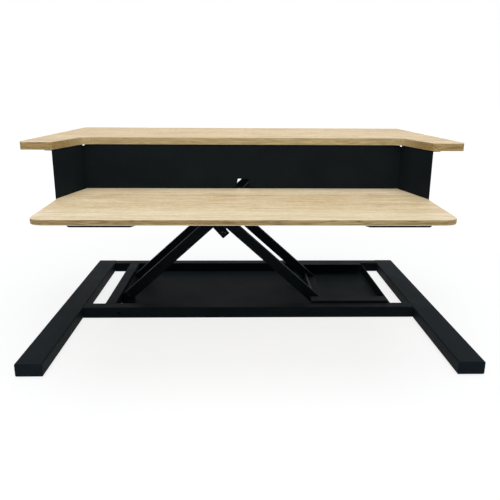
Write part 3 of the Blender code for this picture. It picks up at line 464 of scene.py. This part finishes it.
# %% [markdown]
# ## The metals, and dressing the solids
#
# Two bright metals are left: the zinc plate of the axle clips and the paddles' pins, and the chrome of the
# gas spring's rod. They could be set piece by piece, but each solid carries the name of its finish in the
# record, so the finishes are handed out from there.

# %% Metals and dressing
# Plated in a barrel: a soft grey shine that blurs what it reflects
FINISHES["zinc"] = grained("zinc plate", "#A9ABAE", "#C2C4C6", roughness=0.34, grain=0.6, bump=0.1,
                           metallic=1.0)
# Plated and ground: a nearly clear mirror
FINISHES["chrome"] = grained("hard chrome", "#C6C8CB", "#D6D8DA", roughness=0.14, grain=0.5, bump=0.04,
                             metallic=1.0)
for part in frame["record"]["subparts"]:
    item = nodes[part["node"]]
    item.data.materials.clear()
    item.data.materials.append(FINISHES[part["material_slot"]])
print("finishes:", sorted(FINISHES))

# %% [markdown]
# ## Helpers for the small pieces
#
# Every small piece is a bmesh that is closed, smoothed where its edges are soft, given a finish and
# handed to a body to ride on. Round pieces, such as rollers and bolts, are half profiles that are spun
# about an axis along Y, the way they come off a lathe.

# %% Helpers for pieces
SMOOTH = math.radians(35)
SAME_POINT = 1e-6
ROUND_STEPS = 36


def keep(name, bm, slot, body, *replaced):
    """Turn a bmesh into a finished piece that rides on a body."""
    bmesh.ops.remove_doubles(bm, verts=bm.verts, dist=SAME_POINT)
    bmesh.ops.recalc_face_normals(bm, faces=bm.faces)
    mesh = bpy.data.meshes.new(name)
    bm.to_mesh(mesh)
    bm.free()
    mesh.shade_smooth()
    mesh.set_sharp_from_angle(angle=SMOOTH)
    mesh.materials.append(FINISHES[slot])
    item = bpy.data.objects.new(name, mesh)
    bpy.context.scene.collection.objects.link(item)
    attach(item, body)
    if replaced:
        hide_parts(*replaced)


def lathe(bm, profile, closed, steps=ROUND_STEPS):
    """Spin a half profile of (radius, distance along Y) points about the Y axis."""
    line = [bm.verts.new((radius, along, 0)) for radius, along in profile]
    edges = [bm.edges.new(pair) for pair in zip(line, line[1:])]
    if closed:
        edges.append(bm.edges.new((line[-1], line[0])))
    bmesh.ops.spin(bm, geom=line + edges, cent=(0, 0, 0), axis=(0, 1, 0), angle=2 * math.pi,
                   steps=steps, use_merge=True)
    bmesh.ops.remove_doubles(bm, verts=bm.verts, dist=SAME_POINT)


def middle_of(node):
    """The middle of a CAD node's box, and half its size."""
    low, high = (Vector(corner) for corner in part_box(node))
    return (low + high) / 2, (high - low) / 2


print("tray's middle:", [round(place, 4) for place in middle_of("keyboard_tray")[0]])

# %% [markdown]
# ## Track rollers
#
# The real rollers are taken as turned black nylon: a crowned rim with broken edges, a web that is
# recessed on both faces, and a hub round the axle. A plain cylinder could be inset and pushed in, but
# a profile gives all of it in one spin. Each one takes the place of a plain ring.

# %% Rollers
HUB = 6.0 * MM
WEB_RECESS = 1.6 * MM
RIM_WALL = 2.6 * MM
BROKEN_EDGE = 0.8 * MM
AXLE = 3.0 * MM
AXLE_CLEARANCE = 0.3 * MM

rollers = [name for name in nodes if "_roller_" in name]
for name in rollers:
    centre, half = middle_of(name)
    tread = half.z
    side = half.y
    face = [
        (tread, 0),
        (tread - BROKEN_EDGE / 4, side - 2 * BROKEN_EDGE),
        (tread - BROKEN_EDGE, side - BROKEN_EDGE / 3),
        (tread - 2 * BROKEN_EDGE, side),
        (tread - RIM_WALL, side),
        (tread - RIM_WALL - BROKEN_EDGE / 2, side - WEB_RECESS),
        (HUB, side - WEB_RECESS),
        (HUB - BROKEN_EDGE / 2, side),
        (AXLE + AXLE_CLEARANCE, side),
    ]
    bm = bmesh.new()
    lathe(bm, face + [(radius, -along) for radius, along in reversed(face[1:])], closed=True)
    bmesh.ops.translate(bm, vec=centre, verts=bm.verts)
    keep(f"{name}_turned", bm, "nylon", name, name)
print("rollers:", len(rollers))

# %% [markdown]
# ## Hexagon socket
#
# The scissor turns on black button-head bolts with a hexagon socket. The socket could be cut with a
# boolean, but that leaves ragged faces round it. Here the dome stops at an open mouth, a hexagon with the
# same number of points is bridged to it, and the hexagon is pushed in.

# %% Socket
HEX = 6
SOCKET = 2.3 * MM
SOCKET_CORNER = 1.1 * SOCKET
SOCKET_MOUTH = 1.35 * SOCKET
SOCKET_DEPTH = 2.2 * MM
ONTO_Y = Matrix.Rotation(math.pi / 2, 4, "X")


def sink_socket(bm, mouth, top):
    """Close a dome's open mouth, which lies at the height top along Y, with a sunk hexagon."""
    spot = Matrix.Translation((0, top, 0)) @ ONTO_Y
    hexagon = bmesh.ops.create_circle(bm, segments=HEX, radius=SOCKET_CORNER, matrix=spot)["verts"]
    sides = list(dict.fromkeys(edge for vert in hexagon for edge in vert.link_edges))
    cut = bmesh.ops.subdivide_edges(bm, edges=sides, cuts=ROUND_STEPS // HEX - 1)["geom_split"]
    sides = [part for part in cut if isinstance(part, bmesh.types.BMEdge)]
    bmesh.ops.bridge_loops(bm, edges=mouth + sides)
    walls = bmesh.ops.extrude_edge_only(bm, edges=sides)["geom"]
    sunk = [part for part in walls if isinstance(part, bmesh.types.BMVert)]
    bmesh.ops.translate(bm, vec=(0, -SOCKET_DEPTH, 0), verts=sunk)
    lower = [part for part in walls if isinstance(part, bmesh.types.BMEdge)
             and all(vert in sunk for vert in part.verts)]
    bmesh.ops.edgeloop_fill(bm, edges=lower)


print("socket:", round(SOCKET_DEPTH / MM, 1), "mm deep")

# %% [markdown]
# ## Pivot bolts
#
# The head is a low dome, the shank ends in a broken edge, and the bolts where the frames cross also
# carry a nut. Dome and shank are one profile, spun as a lathe would turn them. The heads lie on the
# outer sides of the scissor, so the bolts at the front are mirrored.

# %% Button-head bolts
SHANK = 3.0 * MM
HEAD = 6.5 * MM
HEAD_HEIGHT = 4.0 * MM
NUT = 6.5 * MM
# The dome from its crown to its seat, in shares of the head's radius and height
DOME = ((0.72, 0.10), (0.90, 0.34), (0.985, 0.62), (1.0, 0.88), (0.98, 1.0))
BOLT_BODIES = {
    "lower_pivot_bolt": "inner_frame",
    "cross_pivot_bolt": "outer_frame",
    "upper_pivot_bolt": "platform",
}


def button_bolt(name, body, nut):
    """A bolt in place of a plain one, with its head on the outer side of the scissor."""
    centre, half = middle_of(name)
    top = half.y
    tip = -half.y
    profile = [(SOCKET_MOUTH, top)]
    profile += [(HEAD * wide, top - deep * HEAD_HEIGHT) for wide, deep in DOME]
    profile += [(SHANK, top - HEAD_HEIGHT), (SHANK, tip + BROKEN_EDGE), (SHANK - BROKEN_EDGE, tip)]
    bm = bmesh.new()
    lathe(bm, profile, closed=False)
    rims = [edge for edge in bm.edges if edge.is_boundary]
    mouth = [edge for edge in rims if edge.verts[0].co.y > 0]
    end = [edge for edge in rims if edge.verts[0].co.y < 0]
    bmesh.ops.edgeloop_fill(bm, edges=end)
    sink_socket(bm, mouth, top)
    if nut:
        spot = Matrix.Translation((0, tip + HEAD_HEIGHT / 2, 0)) @ ONTO_Y
        bmesh.ops.create_cone(bm, cap_ends=True, segments=HEX, radius1=NUT, radius2=NUT,
                              depth=HEAD_HEIGHT, matrix=spot)
    outer = 1 if name.endswith("rear") else -1
    bmesh.ops.scale(bm, vec=(1, outer, 1), verts=bm.verts)
    bmesh.ops.translate(bm, vec=centre, verts=bm.verts)
    keep(f"{name}_button", bm, "black_steel", body, name)


for stem, body in BOLT_BODIES.items():
    for end in ("front", "rear"):
        button_bolt(f"{stem}_{end}", body, stem.startswith("cross"))
print("bolts:", 2 * len(BOLT_BODIES))

# %% [markdown]
# ## Squeeze paddles
#
# The user's fingers pull these up, so the moulding has no sharp edge. A rounded block could stand for
# one, but the outline shows: one end is rounded and the other runs out in a slope. So the plain paddle's
# outline is drawn from the front and swept back, its edges are bevelled, and the finger side is sunk
# inside a lip.

# %% Paddle mouldings
PADDLE_EDGE = 0.7 * MM
PADDLE_ROUND = 4.0 * MM
PADDLE_ROUND_STEPS = 5
PADDLE_SLOPE = 13 * MM
PADDLE_KNEE = 1.5 * MM
PADDLE_KNEE_RISE = 3.6 * MM
PADDLE_LIP = 4.5 * MM
PADDLE_HOLLOW = 0.6 * MM


def mould_paddle(side, sign):
    """One paddle in place of a plain one; sign turns the rounded end outwards."""
    name = f"release_paddle_{side}"
    centre, half = middle_of(name)
    outline = [(-half.x, half.z), (half.x, half.z)]
    for step in range(PADDLE_ROUND_STEPS + 1):
        turn = math.pi / 2 * step / PADDLE_ROUND_STEPS
        outline.append((half.x - PADDLE_ROUND * (1 - math.cos(turn)),
                        PADDLE_ROUND * (1 - math.sin(turn)) - half.z))
    outline += [(PADDLE_SLOPE - half.x, -half.z), (PADDLE_KNEE - half.x, PADDLE_KNEE_RISE - half.z)]
    bm = bmesh.new()
    end = bm.faces.new([bm.verts.new((sign * x, -half.y, z)) for x, z in outline])
    swept = bmesh.ops.extrude_face_region(bm, geom=[end])["geom"]
    moved = [part for part in swept if isinstance(part, bmesh.types.BMVert)]
    bmesh.ops.translate(bm, vec=(0, 2 * half.y, 0), verts=moved)
    bmesh.ops.recalc_face_normals(bm, faces=bm.faces)
    sharp = [edge for edge in bm.edges if edge.calc_face_angle() > SMOOTH]
    bmesh.ops.bevel(bm, geom=sharp, offset=PADDLE_EDGE, offset_type="OFFSET", affect="EDGES", segments=3,
                    profile=0.5, material=-1)
    under = min(bm.faces, key=lambda face: face.normal.z * face.calc_area())
    bmesh.ops.inset_region(bm, faces=[under], thickness=PADDLE_LIP, depth=-PADDLE_HOLLOW)
    bmesh.ops.translate(bm, vec=centre, verts=bm.verts)
    keep(f"{name}_moulded", bm, "black_plastic", f"paddle_{side}", name)


print("paddle's half size:", [round(half / MM, 1) for half in middle_of("release_paddle_left")[1]], "mm")

# %% [markdown]
# ## Grip ribs
#
# Low ribs stand in the paddle's hollow, a little proud of the lip, so that fingers don't slip. A bump
# could fake them, but it would vanish at the outline and in the mesh, so each is a small bevelled bar.

# %% Paddles with their ribs
RIB_COUNT = 9
RIB_PITCH = 4.4 * MM
RIB_WIDTH = 1.8 * MM
RIB_HEIGHT = 0.6 * MM
RIB_PROUD = 0.5 * MM


def rib_paddle(side, sign):
    """The ribs of one paddle, as one piece."""
    name = f"release_paddle_{side}"
    centre, half = middle_of(name)
    size = (half.x - PADDLE_SLOPE, RIB_WIDTH / 2, RIB_HEIGHT)
    bm = bmesh.new()
    for rib in range(RIB_COUNT):
        along = (rib - (RIB_COUNT - 1) / 2) * RIB_PITCH
        spot = Matrix.Translation((sign * PADDLE_ROUND / 2, along, RIB_HEIGHT - RIB_PROUD - half.z))
        made = bmesh.ops.create_cube(bm, size=2, matrix=spot @ Matrix.Diagonal((*size, 1)))["verts"]
        edges = list(dict.fromkeys(edge for vert in made for edge in vert.link_edges))
        bmesh.ops.bevel(bm, geom=edges, offset=RIB_HEIGHT / 2, offset_type="OFFSET", affect="EDGES",
                        segments=2, profile=0.5, material=-1)
    bmesh.ops.translate(bm, vec=centre, verts=bm.verts)
    keep(f"{name}_ribs", bm, "black_plastic", f"paddle_{side}")


for side, sign in (("left", -1), ("right", 1)):
    mould_paddle(side, sign)
    rib_paddle(side, sign)
    print(f"{side} paddle with", RIB_COUNT, "ribs")

# %% [markdown]
# ## One screw head
#
# Low pan-head screws hold the boards to the riser's flanges, the lift plate to the shelf and the hinge
# brackets to the pan. One head is modelled: a cone whose upper rim is rounded and whose flat top is
# inset. A boolean could cut the cross, but pulling in all but its four arms and pushing the face down
# gives the same recess with a few clean faces.

# %% Pan head
SCREW = 3.6 * MM
SCREW_HEIGHT = 1.9 * MM
SCREW_SIDES = 16
UPPER_RIM = 0.82 * SCREW
RIM_ROUND = 0.18 * SCREW
CROSS_MARGIN = 0.12 * SCREW
CROSS_ARM_DEGREES = 15
CROSS_WAIST = 0.34
CROSS_DEPTH = 1.1 * MM

bm = bmesh.new()
bmesh.ops.create_cone(bm, cap_ends=True, segments=SCREW_SIDES, radius1=SCREW, radius2=UPPER_RIM,
                      depth=SCREW_HEIGHT, matrix=Matrix.Translation((0, 0, SCREW_HEIGHT / 2)))
crown = [edge for edge in bm.edges if all(vert.co.z > SCREW_HEIGHT / 2 for vert in edge.verts)]
bmesh.ops.bevel(bm, geom=crown, offset=RIM_ROUND, offset_type="OFFSET", affect="EDGES", segments=3,
                profile=0.5, material=-1)
crest = max(bm.faces, key=lambda face: (round(face.normal.z, 3), face.calc_area()))
bmesh.ops.inset_region(bm, faces=[crest], thickness=CROSS_MARGIN)
for vert in crest.verts:
    turn = math.degrees(math.atan2(vert.co.y, vert.co.x)) % 90
    if min(turn, 90 - turn) > CROSS_ARM_DEGREES:
        vert.co.xy *= CROSS_WAIST
sunk = bmesh.ops.extrude_discrete_faces(bm, faces=[crest])["faces"][0]
bmesh.ops.translate(bm, vec=(0, 0, -CROSS_DEPTH), verts=sunk.verts)
bmesh.ops.recalc_face_normals(bm, faces=bm.faces)
pan_head = bpy.data.meshes.new("pan_head")
bm.to_mesh(pan_head)
bm.free()
print("faces of a screw head:", len(pan_head.polygons))

# %% [markdown]
# ## Screws under the tray
#
# A row of screws goes up through the riser's lower flange, just in front of the tray's back edge, and two
# more through the flange of each wing. Copies of the one head are joined into one piece, because they
# all ride on the platform.

# %% Tray screws
FLANGE_MIDDLE = 13 * MM
TRAY_SCREW_PITCH = 125 * MM
# On each wing: how far in front of the tray's back edge, and how far from the riser's middle
WING_SCREWS = ((52 * MM, 329 * MM), (97 * MM, 338 * MM))


def screws(name, spots, body, down=True):
    """One piece of screw heads with their seats at the spots, pointing down or up."""
    bm = bmesh.new()
    turned = Matrix.Rotation(math.pi if down else 0, 4, "X")
    for spot in spots:
        start = len(bm.verts)
        bm.from_mesh(pan_head)
        bm.verts.ensure_lookup_table()
        bmesh.ops.transform(bm, matrix=Matrix.Translation(spot) @ turned, verts=bm.verts[start:])
    keep(name, bm, "black_steel", body)


riser, riser_half = middle_of("riser_panel")
tray, tray_half = middle_of("keyboard_tray")
tray_back = tray.y + tray_half.y
under_flange = riser.z - riser_half.z
spots = [(riser.x + step * TRAY_SCREW_PITCH, tray_back - FLANGE_MIDDLE, under_flange)
         for step in (-2, -1, 0, 1, 2)]
spots += [(riser.x + side * reach, tray_back - depth, under_flange)
          for side in (-1, 1) for depth, reach in WING_SCREWS]
screws("tray_screws", spots, "platform")
print("tray screws:", len(spots))

# %% [markdown]
# ## Screws under the shelf
#
# The riser's upper flange and the lift plate are screwed up into the shelf. Their screws are seen only
# from below, so they are the same heads, set out in even rows from the middle of each sheet.

# %% Shelf and plate screws
SHEET = 1.5 * MM
FLANGE_GAP = 0.3 * MM
SHELF_SCREW_STEP = 100 * MM
PLATE_SHEET = 2 * MM
PLATE_SHIFT = 10 * MM
PLATE_SCREW_PITCH = 120 * MM
PLATE_SCREW_REACH = 45 * MM

top_flange = SHELF_UNDER - FLANGE_GAP - SHEET
spots = [(riser.x + step * SHELF_SCREW_STEP, tray_back + FLANGE_MIDDLE, top_flange)
         for step in (-3, -1, 1, 3)]
screws("shelf_screws", spots, "platform")
plate, plate_half = middle_of("lift_plate")
plate_under = plate.z + plate_half.z - PLATE_SHEET
plate_spots = [(plate.x + PLATE_SHIFT + step * PLATE_SCREW_PITCH, plate.y + side * PLATE_SCREW_REACH,
                plate_under) for step in (-1, 0, 1) for side in (-1, 1)]
screws("plate_screws", plate_spots, "platform")
print("shelf screws:", len(spots), "plate screws:", len(plate_spots))

# %% [markdown]
# ## Screws in the floor brackets
#
# Each lower hinge bracket is an angle that stands on the pan, with two screws in its toe. These heads
# point up.

# %% Bracket screws
BRACKET_SHEET = 2.5 * MM
TOE_MARGIN = 6.5 * MM
BRACKET_SCREW_REACH = 9 * MM

for end, outward in (("front", -1), ("rear", 1)):
    bracket, bracket_half = middle_of(f"lower_bracket_{end}")
    toe = bracket.y + outward * (bracket_half.y - TOE_MARGIN)
    toe_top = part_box(f"lower_bracket_{end}")[0][2] + BRACKET_SHEET
    spots = [(bracket.x + side * BRACKET_SCREW_REACH, toe, toe_top) for side in (-1, 1)]
    screws(f"lower_bracket_screws_{end}", spots, "base", down=False)
    print(f"screws in the {end} bracket:", len(spots))

# %% [markdown]
# ## Weld beads
#
# The base is welded, then coated, so its inner corners carry a rippled bead under the paint. A bump could
# only shade it, and the corner would stay sharp. So a bead is a lathe profile again: a thin bar, pointed
# at both ends, whose radius swells and shrinks every couple of millimetres.

# %% One bead
BEAD = 1.5 * MM
BEAD_WAIST = 0.8 * BEAD
BEAD_SIDES = 10
BEAD_LOW = 3 * MM
BEAD_HIGH = 25 * MM
RIPPLE = 2.2 * MM

ripples = int((BEAD_HIGH - BEAD_LOW) / RIPPLE)
profile = [(0, BEAD_LOW)]
for step in range(2 * ripples + 1):
    profile.append((BEAD if step % 2 else BEAD_WAIST, BEAD_LOW + (step + 0.5) * RIPPLE / 2))
profile.append((0, BEAD_HIGH))
bm = bmesh.new()
lathe(bm, profile, closed=False, steps=BEAD_SIDES)
bead = bpy.data.meshes.new("bead")
bm.to_mesh(bead)
bm.free()
print("ripples in a bead:", ripples)

# %% [markdown]
# ## Beads in the corners
#
# The rails are welded to the feet, and the crossbar to the rails. Each corner could get a bead of its
# own, but the tubes are all one height, so copies of the one bead stand upright in the corners. Their
# places are read from the tubes' boxes.

# %% Welds of the base
foot_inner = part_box("right_foot")[0][0]
front_rail, rear_rail, crossbar = (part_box(name) for name in ("front_rail", "rear_rail", "left_crossbar"))
corners = [(side * foot_inner, depth) for side in (-1, 1)
           for depth in (front_rail[0][1], front_rail[1][1], rear_rail[0][1])]
corners += [(across, depth) for across in (crossbar[0][0], crossbar[1][0])
            for depth in (front_rail[1][1], rear_rail[0][1])]
bm = bmesh.new()
for x, y in corners:
    start = len(bm.verts)
    bm.from_mesh(bead)
    bm.verts.ensure_lookup_table()
    bmesh.ops.transform(bm, matrix=Matrix.Translation((x, y, 0)) @ ONTO_Y, verts=bm.verts[start:])
keep("base_welds", bm, "powder_coat", "base")
print("welds:", len(corners))

# %% [markdown]
# ## Clips on the axles
#
# A spring-steel clip keeps each roller on its axle. The real ones have a gap for fitting, which is too
# small to see here, so a clip is a thin flat ring that rides on the frame that holds the axle.

# %% Axle clips
CLIP = 5.4 * MM
CLIP_THICK = 0.5 * MM
CLIP_GAP = 0.15 * MM
CLIP_BORE = AXLE + CLIP_GAP / 2
CLIP_STEPS = 28

for name in rollers:
    centre, half = middle_of(name)
    inner = half.y + CLIP_GAP
    outer = inner + CLIP_THICK
    bm = bmesh.new()
    lathe(bm, [(CLIP_BORE, inner), (CLIP, inner), (CLIP, outer), (CLIP_BORE, outer)], closed=True,
          steps=CLIP_STEPS)
    outward = 1 if name.endswith("rear") else -1
    bmesh.ops.scale(bm, vec=(1, outward, 1), verts=bm.verts)
    bmesh.ops.translate(bm, vec=centre, verts=bm.verts)
    keep(f"{name}_clip", bm, "zinc", "outer_frame" if name.startswith("lower") else "inner_frame")
print("clips:", len(rollers))

# %% [markdown]
# ## The gas spring's axis
#
# The gas spring lies at a slant, so rings on it can't simply be turned about Y and pushed into place. The
# lathe's axis is turned to the direction that the spring's stroke has in the record, and distances count
# from the spring's lower eye.

# %% Rings on the gas spring
joints = {joint["name"]: joint for joint in frame["record"]["behaviour"]["joints"]}
spring_foot = Vector(joints["spring_swing"]["pos_m"])
spring_way = Vector(joints["spring_stroke"]["axis"]).normalized()
onto_spring = Vector((0, 1, 0)).rotation_difference(spring_way).to_matrix().to_4x4()


def spring_ring(name, slot, ring):
    """A closed profile of (radius, distance from the lower eye), spun about the spring's axis."""
    bm = bmesh.new()
    lathe(bm, ring, closed=True)
    bmesh.ops.transform(bm, matrix=Matrix.Translation(spring_foot) @ onto_spring, verts=bm.verts)
    keep(name, bm, slot, "spring_cylinder")


print("the spring points along", [round(part, 3) for part in spring_way])

# %% [markdown]
# ## Collars
#
# The cylinder is a tube that is closed at both ends by rolling its wall in. The roll could be shaped in
# the tube itself, but a ring with sloped ends round each end shows the same step and leaves the solid
# as it is.

# %% Collars of the gas spring
COLLAR_BORE = 9.6 * MM
COLLAR = 10.4 * MM
COLLAR_START = 0.6 * MM
# Where each collar starts and ends along the spring, and how much of its end is rolled in
COLLARS = {
    "gas_spring_collar": (148 * MM, 154.8 * MM, 0.8 * MM),
    "gas_spring_foot_collar": (8 * MM, 12.6 * MM, 0.6 * MM),
}

for name, (start, end, rolled) in COLLARS.items():
    spring_ring(name, "black_steel", [(COLLAR_BORE, start), (COLLAR, start + COLLAR_START),
                                      (COLLAR, end - rolled), (COLLAR_BORE, end)])
print("collars:", len(COLLARS))

# %% [markdown]
# ## Wiper
#
# A rubber wiper sits on the cylinder's end and keeps dust off the chrome rod. It is one more ring: a
# short wall with a little draft, and a slope that runs up to a thin lip round the rod.

# %% Wiper of the gas spring
WIPER_SEAT = 155.8 * MM
WIPER_BORE = 4.5 * MM
WIPER = 7.6 * MM
WIPER_DRAFT = 0.4 * MM
WIPER_WALL = 1.6 * MM
WIPER_LIP = 0.9 * MM
WIPER_SHOULDER = 3.8 * MM
WIPER_HEIGHT = 4.0 * MM

spring_ring("gas_spring_wiper", "rubber", [
    (WIPER_BORE, WIPER_SEAT),
    (WIPER, WIPER_SEAT),
    (WIPER - WIPER_DRAFT, WIPER_SEAT + WIPER_WALL),
    (WIPER_BORE + WIPER_LIP, WIPER_SEAT + WIPER_SHOULDER),
    (WIPER_BORE, WIPER_SEAT + WIPER_HEIGHT),
])
print("wiper:", round(WIPER_HEIGHT / MM, 1), "mm high")
